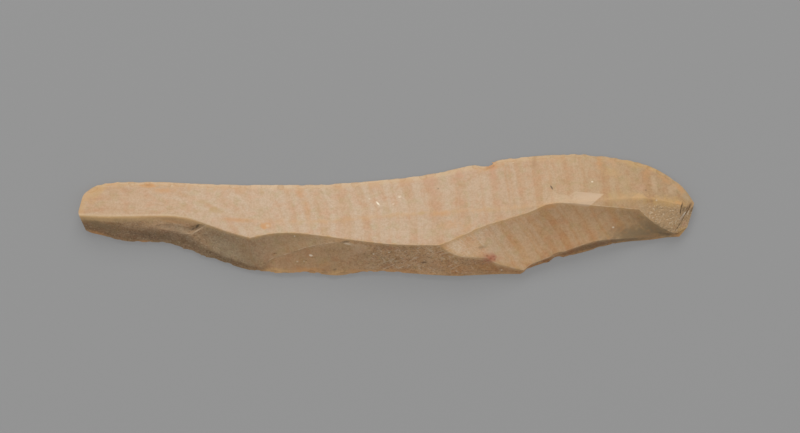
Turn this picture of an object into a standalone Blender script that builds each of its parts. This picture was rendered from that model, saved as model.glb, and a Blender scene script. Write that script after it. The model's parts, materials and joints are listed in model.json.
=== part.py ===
"""Flint sickle blade: one knapped piece of banded flint, lying on its flat ventral face.

The row frame has +X along the blade towards its butt, +Y towards the cutting edge and +Z up
through the dorsal face. The origin is at the bottom centre of the blade's box.

The blade is a loft. Six long lines run from its left end to its butt: the cutting edge, the top
of its retouch, the dorsal ridge, the arris where the bevelled back begins, a second arris lower
on that bevel, and the back edge. The faces between them are the hollow scars of long flakes.
Smaller flakes are then struck off with scoop-shaped cutters.
"""

import math

import bmesh
import bpy
import numpy as np
from mathutils import Matrix, Vector
from mathutils.bvhtree import BVHTree

# Driving sizes, in metres
LENGTH = 0.105
WIDTH = 0.0208
THICKNESS = 0.0058
EDGE_THICKNESS = 0.00045
BACK_THICKNESS = 0.0007
VENTRAL_LIFT = 0.0002
RIB_SPACING = 0.0016
LEAST_RIB_GAP = 0.0004

# The form is free, so each line is a row of shares: (along LENGTH, across WIDTH) in plan, with
# 0 across at the back and 1 at the cutting edge, and (along LENGTH, up THICKNESS) for its height,
# which for the two edges is on top of their own thickness. A share along that is in a line's
# corners is a sharp turn, and the rest run smoothly.
CUTTING_EDGE = {
    "plan": (
        (0.000, 0.530), (0.002, 0.571), (0.006, 0.647), (0.016, 0.703), (0.029, 0.741),
        (0.044, 0.763), (0.067, 0.771), (0.124, 0.772), (0.180, 0.759), (0.262, 0.748),
        (0.359, 0.747), (0.433, 0.762), (0.509, 0.795), (0.578, 0.842), (0.641, 0.911),
        (0.655, 0.899), (0.666, 0.899), (0.672, 0.933), (0.687, 0.954), (0.724, 0.975),
        (0.760, 0.990), (0.812, 1.000), (0.843, 0.987), (0.879, 0.962), (0.918, 0.918),
        (0.949, 0.847), (0.980, 0.735), (0.990, 0.676), (1.000, 0.598),
    ),
    "height": ((0.000, 0.44), (0.006, 0.26), (0.018, 0.12), (0.045, 0.03), (0.09, 0.0),
               (0.91, 0.0), (0.96, 0.04), (0.985, 0.10), (1.0, 0.14)),
    "corners": (0.641, 0.655, 0.666, 0.672),
}
RETOUCH = {
    "plan": ((0.000, 0.523), (0.003, 0.548), (0.010, 0.612), (0.020, 0.668), (0.035, 0.706),
             (0.067, 0.731), (0.124, 0.734), (0.180, 0.722), (0.262, 0.711), (0.359, 0.710),
             (0.433, 0.725), (0.509, 0.757), (0.578, 0.803), (0.641, 0.862), (0.690, 0.914),
             (0.724, 0.937), (0.760, 0.952), (0.812, 0.962), (0.843, 0.950), (0.879, 0.925),
             (0.918, 0.880), (0.949, 0.812), (0.975, 0.708), (0.988, 0.640), (0.999, 0.574)),
    "height": ((0.0, 0.535), (0.003, 0.507), (0.010, 0.415), (0.020, 0.305), (0.035, 0.245),
               (0.067, 0.195), (0.180, 0.188), (0.262, 0.165), (0.578, 0.155), (0.76, 0.172),
               (0.918, 0.165), (0.949, 0.180), (0.975, 0.265), (0.988, 0.300), (0.999, 0.235)),
    "corners": (),
}
DORSAL_RIDGE = {
    "plan": ((0.000, 0.515), (0.030, 0.530), (0.200, 0.520), (0.300, 0.460), (0.359, 0.443),
             (0.550, 0.512), (0.685, 0.549), (0.760, 0.587), (0.781, 0.605), (0.853, 0.625),
             (0.913, 0.640), (0.980, 0.583), (0.998, 0.550)),
    "height": ((0.0, 0.555), (0.03, 0.64), (0.20, 0.68), (0.30, 0.67), (0.359, 0.74),
               (0.55, 0.605), (0.685, 0.835), (0.76, 0.96), (0.853, 0.83), (0.913, 0.72),
               (0.980, 0.56), (0.998, 0.24)),
    "corners": (0.760, 0.980),
}
ARRIS = {
    "plan": ((0.001, 0.497), (0.044, 0.489), (0.143, 0.495), (0.181, 0.470), (0.218, 0.407),
             (0.243, 0.363), (0.278, 0.313), (0.318, 0.351), (0.343, 0.355), (0.394, 0.332),
             (0.433, 0.306), (0.469, 0.281), (0.519, 0.258), (0.586, 0.253), (0.633, 0.356),
             (0.656, 0.407), (0.708, 0.486), (0.731, 0.525), (0.760, 0.586), (0.781, 0.600),
             (0.853, 0.571), (0.910, 0.545), (0.926, 0.466), (0.941, 0.413), (0.969, 0.342),
             (0.989, 0.400)),
    "height": ((0.001, 0.60), (0.044, 0.76), (0.143, 0.82), (0.218, 0.86), (0.278, 0.90),
               (0.433, 0.95), (0.586, 1.00), (0.760, 0.96), (0.853, 0.87), (0.910, 0.76),
               (0.941, 0.55), (0.969, 0.33), (0.989, 0.22)),
    "corners": (0.278, 0.433, 0.586, 0.760, 0.910, 0.969),
}
LOWER_ARRIS = {
    "plan": ((0.005, 0.450), (0.044, 0.431), (0.088, 0.398), (0.132, 0.388), (0.178, 0.342),
             (0.190, 0.287), (0.218, 0.205), (0.255, 0.131), (0.296, 0.072), (0.311, 0.134),
             (0.344, 0.190), (0.369, 0.234), (0.394, 0.259), (0.433, 0.286), (0.470, 0.213),
             (0.522, 0.164), (0.563, 0.180), (0.586, 0.245), (0.608, 0.180), (0.623, 0.158),
             (0.643, 0.152), (0.663, 0.149), (0.677, 0.106), (0.698, 0.075), (0.723, 0.046),
             (0.734, 0.092), (0.750, 0.125), (0.781, 0.186), (0.796, 0.214), (0.832, 0.275),
             (0.848, 0.292), (0.890, 0.308), (0.953, 0.326), (0.972, 0.335), (0.984, 0.370)),
    "height": ((0.005, 0.50), (0.044, 0.625), (0.088, 0.575), (0.132, 0.58), (0.178, 0.55),
               (0.190, 0.43), (0.218, 0.35), (0.255, 0.29), (0.296, 0.24), (0.311, 0.40),
               (0.344, 0.578), (0.369, 0.69), (0.394, 0.783), (0.433, 0.915), (0.470, 0.73),
               (0.522, 0.61), (0.563, 0.73), (0.586, 0.97), (0.608, 0.87), (0.623, 0.80),
               (0.643, 0.73), (0.663, 0.665), (0.677, 0.55), (0.698, 0.42), (0.723, 0.285),
               (0.734, 0.33), (0.750, 0.357), (0.781, 0.40), (0.796, 0.44), (0.832, 0.465),
               (0.848, 0.465), (0.890, 0.32), (0.953, 0.20), (0.984, 0.20)),
    "corners": (0.190, 0.296, 0.433, 0.586, 0.663, 0.723),
}
BACK_EDGE = {
    "plan": ((0.011, 0.375), (0.019, 0.356), (0.039, 0.332), (0.061, 0.300), (0.086, 0.281),
             (0.128, 0.275), (0.151, 0.263), (0.168, 0.225), (0.186, 0.206), (0.198, 0.165),
             (0.218, 0.145), (0.243, 0.099), (0.263, 0.067), (0.288, 0.040), (0.310, 0.037),
             (0.315, 0.023), (0.369, 0.026), (0.419, 0.004), (0.459, 0.029), (0.494, 0.035),
             (0.544, 0.019), (0.578, 0.007), (0.618, 0.000), (0.646, 0.007), (0.698, 0.016),
             (0.718, 0.016), (0.734, 0.066), (0.750, 0.096), (0.765, 0.118), (0.773, 0.151),
             (0.781, 0.161), (0.787, 0.154), (0.822, 0.197), (0.848, 0.236), (0.869, 0.263),
             (0.890, 0.280), (0.931, 0.298), (0.954, 0.315), (0.976, 0.322)),
    "height": ((0.011, 0.03), (0.10, 0.0), (0.25, -0.03), (0.34, 0.02), (0.42, 0.0),
               (0.60, 0.05), (0.70, 0.02), (0.78, -0.04), (0.86, -0.03), (0.976, 0.05)),
    "corners": (0.310, 0.315, 0.718, 0.781, 0.787),
}

# Each face between two lines: its lines, its grid columns and its hollow, in rows of (along
# LENGTH, share of the face's width). The hollow on the back is a run of scars with ribs between.
FACES = (
    (CUTTING_EDGE, RETOUCH, 1, ((0.0, 0.0), (1.0, 0.0))),
    (RETOUCH, DORSAL_RIDGE, 3, ((0.0, 0.018), (1.0, 0.018))),
    (DORSAL_RIDGE, ARRIS, 2, ((0.0, 0.015), (1.0, 0.015))),
    (ARRIS, LOWER_ARRIS, 4, ((0.0, 0.01), (0.16, 0.01), (0.225, 0.06), (0.283, 0.0), (0.34, 0.05),
                             (0.43, 0.02), (0.50, 0.05), (0.586, 0.01), (0.66, 0.045),
                             (0.82, 0.050), (0.89, 0.085), (0.93, 0.02), (1.0, 0.02))),
    (LOWER_ARRIS, BACK_EDGE, 2, ((0.0, 0.02), (0.27, 0.02), (0.30, 0.0), (0.37, 0.05),
                                 (0.43, 0.03), (0.50, 0.04), (0.60, 0.02), (1.0, 0.02))),
)
# The ventral face lifts over this share of the blade's width at each side, and over this many ribs
# at each end
LIFTED_SHARE = 0.12
LIFTED_RIBS = 2

# Small flakes struck off afterwards: where (shares along and across), from which side, the way the
# flake ran in degrees from +X, and its real length, width and depth in metres
FLAKES = (
    {"at": (0.819, 0.640), "side": 1, "heading": 4, "size": (0.0072, 0.0021, 0.00016)},
    {"at": (0.192, 0.394), "side": 1, "heading": 28, "size": (0.0030, 0.0013, 0.00035)},
    {"at": (0.925, 0.560), "side": -1, "heading": 170, "size": (0.0068, 0.0046, 0.00026)},
)
BALL_TO_DEPTH = 3.0
CUTTER_SUBDIVISIONS = 4
SMOOTH_ANGLE = math.radians(18)

FLINT_COLOUR = (0.56, 0.40, 0.26, 1.0)
FLINT_ROUGHNESS = 0.5


def clear_scene():
    for thing in list(bpy.data.objects):
        bpy.data.objects.remove(thing)


def new_collection(name):
    collection = bpy.data.collections.new(name)
    bpy.context.scene.collection.children.link(collection)
    return collection


def smooth_run(x, y, at):
    """A curve through the points (x, y) that doesn't swing past them, read at the places at."""
    step = np.diff(x)
    slope = np.diff(y) / step
    tangent = np.concatenate([slope[:1], (slope[:-1] + slope[1:]) / 2, slope[-1:]])
    same_way = slope[:-1] * slope[1:] > 0
    steepest = 3 * np.minimum(abs(slope[:-1]), abs(slope[1:]))
    tangent[1:-1] = np.where(same_way, np.clip(tangent[1:-1], -steepest, steepest), 0)
    i = np.clip(np.searchsorted(x, at, side="right") - 1, 0, len(step) - 1)
    t = (at - x[i]) / step[i]
    rise = y[i + 1] - y[i]
    start = tangent[i] * step[i]
    end = tangent[i + 1] * step[i]
    return y[i] + start * t + (3 * rise - 2 * start - end) * t**2 + (start + end - 2 * rise) * t**3


def read_curve(points, corners, at):
    """The curve through points, read at the shares at, with a sharp turn at each corner."""
    x, y = np.array(points, float).T
    breaks = [0] + [i for i in range(1, len(x) - 1) if x[i] in corners] + [len(x) - 1]
    value = np.empty(len(at))
    for first, last in zip(breaks[:-1], breaks[1:]):
        inside = (at >= x[first]) & (at <= x[last])
        run = slice(first, last + 1)
        value[inside] = smooth_run(x[run], y[run], at[inside])
    return value


def own_share(line, run):
    """The share along the blade where a line is, once it has gone a share run of its own way."""
    first, last = line["plan"][0][0], line["plan"][-1][0]
    return np.clip(first + run * (last - first), first, last)


def line_points(line, run):
    """A long line's points, one for each rib, in metres."""
    along = own_share(line, run)
    across = read_curve(line["plan"], line["corners"], along)
    height = read_curve(line["height"], line["corners"], along) * THICKNESS
    if line is CUTTING_EDGE:
        height += EDGE_THICKNESS
    if line is BACK_EDGE:
        height += BACK_THICKNESS
    return np.stack([(along - 0.5) * LENGTH, (across - 0.5) * WIDTH, height], axis=1)


def rib_shares():
    """Where the ribs stand: evenly along the blade, and at every point where a line turns."""
    even = np.linspace(0, 1, round(LENGTH / RIB_SPACING) + 1)
    turns = []
    for line in (CUTTING_EDGE, DORSAL_RIDGE, ARRIS, LOWER_ARRIS, BACK_EDGE):
        along = np.array([point[0] for point in line["plan"]])
        turns.append((along - along[0]) / (along[-1] - along[0]))
    turns = np.unique(np.concatenate(turns))
    kept = [0.0, 1.0]
    for share in np.concatenate([turns, even]):
        if min(abs(share - k) for k in kept) * LENGTH > LEAST_RIB_GAP:
            kept.append(share)
    return np.array(sorted(kept))


def dorsal_grid(run):
    """The dorsal face as a grid of points, ribs by columns, from the cutting edge to the back."""
    columns = []
    for upper, lower, count, hollow in FACES:
        start, end = line_points(upper, run), line_points(lower, run)
        deepest = np.interp(run, *zip(*hollow)) * np.linalg.norm(end - start, axis=1)
        for k in range(count):
            t = k / count
            point = start + (end - start) * t
            point[:, 2] -= 4 * deepest * t * (1 - t)
            columns.append(point)
    columns.append(line_points(BACK_EDGE, run))
    return np.stack(columns, axis=1)


def ventral_height(dorsal):
    """The ventral face under each dorsal point: flat, and lifted a little at the rim all round."""
    ribs, columns = dorsal.shape[:2]
    edge = dorsal[:, :1, 1]
    back = dorsal[:, -1:, 1]
    across = (dorsal[:, :, 1] - back) / (edge - back)
    from_rim = np.minimum(across, 1 - across) / LIFTED_SHARE
    from_end = np.minimum(np.arange(ribs), np.arange(ribs)[::-1])[:, None] / LIFTED_RIBS
    lift = 1 - np.minimum(np.minimum(from_rim, from_end), 1)
    return VENTRAL_LIFT * np.broadcast_to(lift, (ribs, columns))


def build_stone(collection):
    """The blade before the small flakes: the two grids of points, closed by a wall round their rim."""
    dorsal = dorsal_grid(rib_shares())
    ventral = dorsal.copy()
    ventral[:, :, 2] = ventral_height(dorsal)
    ribs, columns = dorsal.shape[:2]
    mesh = bmesh.new()
    roof = [[mesh.verts.new(point) for point in rib] for rib in dorsal]
    floor = [[mesh.verts.new(point) for point in rib] for rib in ventral]
    for i in range(ribs - 1):
        for j in range(columns - 1):
            mesh.faces.new((roof[i][j], roof[i][j + 1], roof[i + 1][j + 1], roof[i + 1][j]))
            mesh.faces.new((floor[i][j], floor[i + 1][j], floor[i + 1][j + 1], floor[i][j + 1]))
    rim = [(i, 0) for i in range(ribs)]
    rim += [(ribs - 1, j) for j in range(1, columns)]
    rim += [(i, columns - 1) for i in range(ribs - 2, -1, -1)]
    rim += [(0, j) for j in range(columns - 2, 0, -1)]
    for (i, j), (k, m) in zip(rim, rim[1:] + rim[:1]):
        mesh.faces.new((roof[i][j], roof[k][m], floor[k][m], floor[i][j]))
    bmesh.ops.triangulate(mesh, faces=list(mesh.faces))
    bmesh.ops.recalc_face_normals(mesh, faces=list(mesh.faces))
    data = bpy.data.meshes.new("blade")
    mesh.to_mesh(data)
    mesh.free()
    stone = bpy.data.objects.new("blade", data)
    collection.objects.link(stone)
    return stone


def strike(stone, number, flake, cutters):
    """Takes one small flake off the stone with a scoop, a flattened ball set on its surface."""
    x = (flake["at"][0] - 0.5) * LENGTH
    y = (flake["at"][1] - 0.5) * WIDTH
    outward = Vector((0, 0, flake["side"]))
    tree = BVHTree.FromObject(stone, bpy.context.evaluated_depsgraph_get())
    place, normal, _, _ = tree.ray_cast(Vector((x, y, 0)) + outward * 2 * THICKNESS, -outward)
    length, width, depth = flake["size"]
    rise = BALL_TO_DEPTH * depth
    spread = math.sqrt(1 - ((rise - depth) / rise) ** 2)
    ball = bmesh.new()
    bmesh.ops.create_icosphere(ball, subdivisions=CUTTER_SUBDIVISIONS, radius=1)
    bmesh.ops.scale(ball, vec=(length / 2 / spread, width / 2 / spread, rise), verts=ball.verts)
    heading = math.radians(flake["heading"])
    forward = Vector((math.cos(heading), math.sin(heading), 0))
    forward = (forward - forward.project(normal)).normalized()
    turn = Matrix((forward, normal.cross(forward), normal)).transposed().to_4x4()
    data = bpy.data.meshes.new(f"scoop_{number}")
    ball.to_mesh(data)
    ball.free()
    scoop = bpy.data.objects.new(data.name, data)
    scoop.matrix_world = Matrix.Translation(place + normal * (rise - depth)) @ turn
    scoop.hide_render = True
    scoop.display_type = "WIRE"
    cutters.objects.link(scoop)
    cut = stone.modifiers.new(f"flake_{number}", "BOOLEAN")
    cut.operation = "DIFFERENCE"
    cut.object = scoop
    bpy.context.view_layer.update()


def flint():
    material = bpy.data.materials.new("flint")
    material.use_nodes = True
    shader = material.node_tree.nodes["Principled BSDF"]
    shader.inputs["Base Color"].default_value = FLINT_COLOUR
    shader.inputs["Roughness"].default_value = FLINT_ROUGHNESS
    shader.inputs["Metallic"].default_value = 0.0
    return material


def main():
    clear_scene()
    blade_parts = new_collection("flint_sickle_blade")
    cutters = new_collection("cutters")
    stone = build_stone(blade_parts)
    for number, flake in enumerate(FLAKES):
        strike(stone, number, flake, cutters)
    stone.data.materials.append(flint())
    stone.data.shade_smooth()
    stone.data.set_sharp_from_angle(angle=SMOOTH_ANGLE)


main()
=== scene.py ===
import json
import math

import bmesh
import bpy
import numpy as np
from mathutils import Matrix, Vector, kdtree
from mathutils.bvhtree import BVHTree

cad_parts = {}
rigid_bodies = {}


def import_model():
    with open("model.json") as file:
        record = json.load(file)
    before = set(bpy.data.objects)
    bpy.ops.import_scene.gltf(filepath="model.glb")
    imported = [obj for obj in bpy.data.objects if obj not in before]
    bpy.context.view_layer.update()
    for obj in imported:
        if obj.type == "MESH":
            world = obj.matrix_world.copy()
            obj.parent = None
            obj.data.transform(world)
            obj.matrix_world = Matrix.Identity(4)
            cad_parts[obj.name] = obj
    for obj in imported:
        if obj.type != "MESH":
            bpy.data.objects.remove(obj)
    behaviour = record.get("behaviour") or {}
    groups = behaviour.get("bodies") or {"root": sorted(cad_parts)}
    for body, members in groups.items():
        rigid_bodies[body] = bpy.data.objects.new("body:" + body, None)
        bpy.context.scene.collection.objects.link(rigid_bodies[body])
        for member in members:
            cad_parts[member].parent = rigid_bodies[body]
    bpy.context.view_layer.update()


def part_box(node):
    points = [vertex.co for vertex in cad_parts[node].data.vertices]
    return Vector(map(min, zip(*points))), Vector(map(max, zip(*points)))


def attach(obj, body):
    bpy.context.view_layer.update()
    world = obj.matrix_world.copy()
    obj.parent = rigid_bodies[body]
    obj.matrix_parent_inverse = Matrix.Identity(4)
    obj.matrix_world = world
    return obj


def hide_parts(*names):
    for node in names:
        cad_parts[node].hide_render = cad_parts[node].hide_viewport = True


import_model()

# The blade is one piece of banded flint, struck off its core with a few long flakes. Six lines
# run along it: the cutting edge, the top of its retouch, the dorsal ridge, the arris of the
# bevelled back, a second arris lower on that bevel, and the back edge.
blade_low, blade_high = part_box("blade")
blade_length = blade_high[0] - blade_low[0]
blade_width = blade_high[1] - blade_low[1]
blade_thickness = blade_high[2] - blade_low[2]
edge_thickness = 0.00045
back_thickness = 0.0007
# The ventral face lifts this far at its rim, over these shares of the width and the length
rim_lift = 0.0002
rim_share = 0.12
end_share = 0.02
rib_spacing = 0.00030
least_rib_gap = 0.00012

# Each line is a row of shares of the blade: (along, across) in plan and (along, up) for its height
cutting_edge = {
    "plan": (
        (0.000, 0.530), (0.002, 0.571), (0.006, 0.647), (0.016, 0.703), (0.029, 0.741),
        (0.044, 0.763), (0.067, 0.771), (0.124, 0.772), (0.180, 0.759), (0.262, 0.748),
        (0.359, 0.747), (0.433, 0.762), (0.509, 0.795), (0.578, 0.842), (0.641, 0.911),
        (0.655, 0.899), (0.666, 0.899), (0.672, 0.933), (0.687, 0.954), (0.724, 0.975),
        (0.760, 0.990), (0.812, 1.000), (0.843, 0.987), (0.879, 0.962), (0.918, 0.918),
        (0.949, 0.847), (0.980, 0.735), (0.990, 0.676), (1.000, 0.598),
    ),
    "height": ((0.000, 0.44), (0.006, 0.26), (0.018, 0.12), (0.045, 0.03), (0.09, 0.0),
               (0.91, 0.0), (0.96, 0.04), (0.985, 0.10), (1.0, 0.14)),
    "corners": (0.641, 0.655, 0.666, 0.672),
}
retouch_top = {
    "plan": ((0.000, 0.523), (0.003, 0.548), (0.010, 0.612), (0.020, 0.668), (0.035, 0.706),
             (0.067, 0.731), (0.124, 0.734), (0.180, 0.722), (0.262, 0.711), (0.359, 0.710),
             (0.433, 0.725), (0.509, 0.757), (0.578, 0.803), (0.641, 0.862), (0.690, 0.914),
             (0.724, 0.937), (0.760, 0.952), (0.812, 0.962), (0.843, 0.950), (0.879, 0.925),
             (0.918, 0.880), (0.949, 0.812), (0.975, 0.708), (0.988, 0.640), (0.999, 0.574)),
    "height": ((0.0, 0.535), (0.003, 0.507), (0.010, 0.415), (0.020, 0.305), (0.035, 0.245),
               (0.067, 0.195), (0.180, 0.188), (0.262, 0.165), (0.578, 0.155), (0.76, 0.172),
               (0.918, 0.165), (0.949, 0.180), (0.975, 0.265), (0.988, 0.300), (0.999, 0.235)),
    "corners": (),
}
dorsal_ridge = {
    "plan": ((0.000, 0.515), (0.030, 0.530), (0.200, 0.520), (0.300, 0.460), (0.359, 0.443),
             (0.550, 0.512), (0.685, 0.549), (0.760, 0.587), (0.781, 0.605), (0.853, 0.625),
             (0.913, 0.640), (0.980, 0.583), (0.998, 0.550)),
    "height": ((0.0, 0.555), (0.03, 0.64), (0.20, 0.68), (0.30, 0.67), (0.359, 0.74),
               (0.55, 0.605), (0.685, 0.835), (0.76, 0.96), (0.853, 0.83), (0.913, 0.72),
               (0.980, 0.56), (0.998, 0.24)),
    "corners": (0.760, 0.980),
}
main_arris = {
    "plan": ((0.001, 0.497), (0.044, 0.489), (0.143, 0.495), (0.181, 0.470), (0.218, 0.407),
             (0.243, 0.363), (0.278, 0.313), (0.318, 0.351), (0.343, 0.355), (0.394, 0.332),
             (0.433, 0.306), (0.469, 0.281), (0.519, 0.258), (0.586, 0.253), (0.633, 0.356),
             (0.656, 0.407), (0.708, 0.486), (0.731, 0.525), (0.760, 0.586), (0.781, 0.600),
             (0.853, 0.571), (0.910, 0.545), (0.926, 0.466), (0.941, 0.413), (0.969, 0.342),
             (0.989, 0.400)),
    "height": ((0.001, 0.60), (0.044, 0.76), (0.143, 0.82), (0.218, 0.86), (0.278, 0.90),
               (0.433, 0.95), (0.586, 1.00), (0.760, 0.96), (0.853, 0.87), (0.910, 0.76),
               (0.941, 0.55), (0.969, 0.33), (0.989, 0.22)),
    "corners": (0.278, 0.433, 0.586, 0.760, 0.910, 0.969),
}
lower_arris = {
    "plan": ((0.005, 0.450), (0.044, 0.431), (0.088, 0.398), (0.132, 0.388), (0.178, 0.342),
             (0.190, 0.287), (0.218, 0.205), (0.255, 0.131), (0.296, 0.072), (0.311, 0.134),
             (0.344, 0.190), (0.369, 0.234), (0.394, 0.259), (0.433, 0.286), (0.470, 0.213),
             (0.522, 0.164), (0.563, 0.180), (0.586, 0.245), (0.608, 0.180), (0.623, 0.158),
             (0.643, 0.152), (0.663, 0.149), (0.677, 0.106), (0.698, 0.075), (0.723, 0.046),
             (0.734, 0.092), (0.750, 0.125), (0.781, 0.186), (0.796, 0.214), (0.832, 0.275),
             (0.848, 0.292), (0.890, 0.308), (0.953, 0.326), (0.972, 0.335), (0.984, 0.370)),
    "height": ((0.005, 0.50), (0.044, 0.625), (0.088, 0.575), (0.132, 0.58), (0.178, 0.55),
               (0.190, 0.43), (0.218, 0.35), (0.255, 0.29), (0.296, 0.24), (0.311, 0.40),
               (0.344, 0.578), (0.369, 0.69), (0.394, 0.783), (0.433, 0.915), (0.470, 0.73),
               (0.522, 0.61), (0.563, 0.73), (0.586, 0.97), (0.608, 0.87), (0.623, 0.80),
               (0.643, 0.73), (0.663, 0.665), (0.677, 0.55), (0.698, 0.42), (0.723, 0.285),
               (0.734, 0.33), (0.750, 0.357), (0.781, 0.40), (0.796, 0.44), (0.832, 0.465),
               (0.848, 0.465), (0.890, 0.32), (0.953, 0.20), (0.984, 0.20)),
    "corners": (0.190, 0.296, 0.433, 0.586, 0.663, 0.723),
}
back_edge = {
    "plan": ((0.011, 0.375), (0.019, 0.356), (0.039, 0.332), (0.061, 0.300), (0.086, 0.281),
             (0.128, 0.275), (0.151, 0.263), (0.168, 0.225), (0.186, 0.206), (0.198, 0.165),
             (0.218, 0.145), (0.243, 0.099), (0.263, 0.067), (0.288, 0.040), (0.310, 0.037),
             (0.315, 0.023), (0.369, 0.026), (0.419, 0.004), (0.459, 0.029), (0.494, 0.035),
             (0.544, 0.019), (0.578, 0.007), (0.618, 0.000), (0.646, 0.007), (0.698, 0.016),
             (0.718, 0.016), (0.734, 0.066), (0.750, 0.096), (0.765, 0.118), (0.773, 0.151),
             (0.781, 0.161), (0.787, 0.154), (0.822, 0.197), (0.848, 0.236), (0.869, 0.263),
             (0.890, 0.280), (0.931, 0.298), (0.954, 0.315), (0.976, 0.322)),
    "height": ((0.011, 0.03), (0.10, 0.0), (0.25, -0.03), (0.34, 0.02), (0.42, 0.0),
               (0.60, 0.05), (0.70, 0.02), (0.78, -0.04), (0.86, -0.03), (0.976, 0.05)),
    "corners": (0.310, 0.315, 0.718, 0.781, 0.787),
}

# Each face between two lines: its grid columns, and its hollow in rows of (along, share of width)
flake_faces = (
    (cutting_edge, retouch_top, 3, ((0.0, 0.0), (1.0, 0.0))),
    (retouch_top, dorsal_ridge, 10, ((0.0, 0.018), (1.0, 0.018))),
    (dorsal_ridge, main_arris, 7, ((0.0, 0.015), (1.0, 0.015))),
    (main_arris, lower_arris, 14, ((0.0, 0.01), (0.16, 0.01), (0.225, 0.06), (0.283, 0.0),
                                   (0.34, 0.05), (0.43, 0.02), (0.50, 0.05), (0.586, 0.01),
                                   (0.66, 0.045), (0.82, 0.050), (0.89, 0.085), (0.93, 0.02),
                                   (1.0, 0.02))),
    (lower_arris, back_edge, 7, ((0.0, 0.02), (0.27, 0.02), (0.30, 0.0), (0.37, 0.05),
                                 (0.43, 0.03), (0.50, 0.04), (0.60, 0.02), (1.0, 0.02))),
)
# How wide the brinks between the faces are worn round: (along, metres)
brink_wear = ((0.0, 0.00032), (0.24, 0.00032), (0.32, 0.00013), (1.0, 0.00013))
# The left end is worn all over: how much, along the blade, and in how many passes
left_wear = ((0.0, 1.0), (0.16, 1.0), (0.22, 0.15), (0.30, 0.0), (1.0, 0.0))
worn_passes = 5


def smooth_run(x, y, at):
    """A curve through the points (x, y) that doesn't swing past them, read at the places at."""
    step = np.diff(x)
    slope = np.diff(y) / step
    tangent = np.concatenate([slope[:1], (slope[:-1] + slope[1:]) / 2, slope[-1:]])
    steepest = 3 * np.minimum(abs(slope[:-1]), abs(slope[1:]))
    same_way = slope[:-1] * slope[1:] > 0
    tangent[1:-1] = np.where(same_way, np.clip(tangent[1:-1], -steepest, steepest), 0)
    i = np.clip(np.searchsorted(x, at, side="right") - 1, 0, len(step) - 1)
    t = (at - x[i]) / step[i]
    rise = y[i + 1] - y[i]
    start = tangent[i] * step[i]
    end = tangent[i + 1] * step[i]
    return y[i] + start * t + (3 * rise - 2 * start - end) * t**2 + (start + end - 2 * rise) * t**3


def read_curve(points, corners, at):
    """The curve through points, read at the shares at, with a sharp turn at each corner."""
    x, y = np.array(points, float).T
    breaks = [0] + [i for i in range(1, len(x) - 1) if x[i] in corners] + [len(x) - 1]
    value = np.empty(len(at))
    for first, last in zip(breaks[:-1], breaks[1:]):
        inside = (at >= x[first]) & (at <= x[last])
        value[inside] = smooth_run(x[first:last + 1], y[first:last + 1], at[inside])
    return value


def line_points(line, run):
    """A long line's points, one for each rib, once it has gone each share in run of its way."""
    first, last = line["plan"][0][0], line["plan"][-1][0]
    along = np.clip(first + run * (last - first), first, last)
    across = read_curve(line["plan"], line["corners"], along)
    height = read_curve(line["height"], line["corners"], along) * blade_thickness
    if line is cutting_edge:
        height += edge_thickness
    if line is back_edge:
        height += back_thickness
    return np.stack([blade_low[0] + along * blade_length, blade_low[1] + across * blade_width,
                     blade_low[2] + height], axis=1)


def rib_shares():
    """Where the ribs stand: evenly along the blade, and at every point where a line turns."""
    turns = []
    for line in (cutting_edge, dorsal_ridge, main_arris, lower_arris, back_edge):
        along = np.array([point[0] for point in line["plan"]])
        turns.append((along - along[0]) / (along[-1] - along[0]))
    even = np.linspace(0, 1, round(blade_length / rib_spacing) + 1)
    kept = [0.0, 1.0]
    for share in np.concatenate([np.unique(np.concatenate(turns)), even]):
        if min(abs(share - k) for k in kept) * blade_length > least_rib_gap:
            kept.append(share)
    return np.array(sorted(kept))


def face_column(start, end, brink, hollow, k, count):
    """One grid column of a face between two lines: close to its brink at both sides, even between."""
    t = np.zeros(len(start)) if k == 0 else brink + (k - 1) / (count - 2) * (1 - 2 * brink)
    point = start + (end - start) * t[:, None]
    point[:, 2] -= 4 * hollow * t * (1 - t)
    return point


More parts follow.
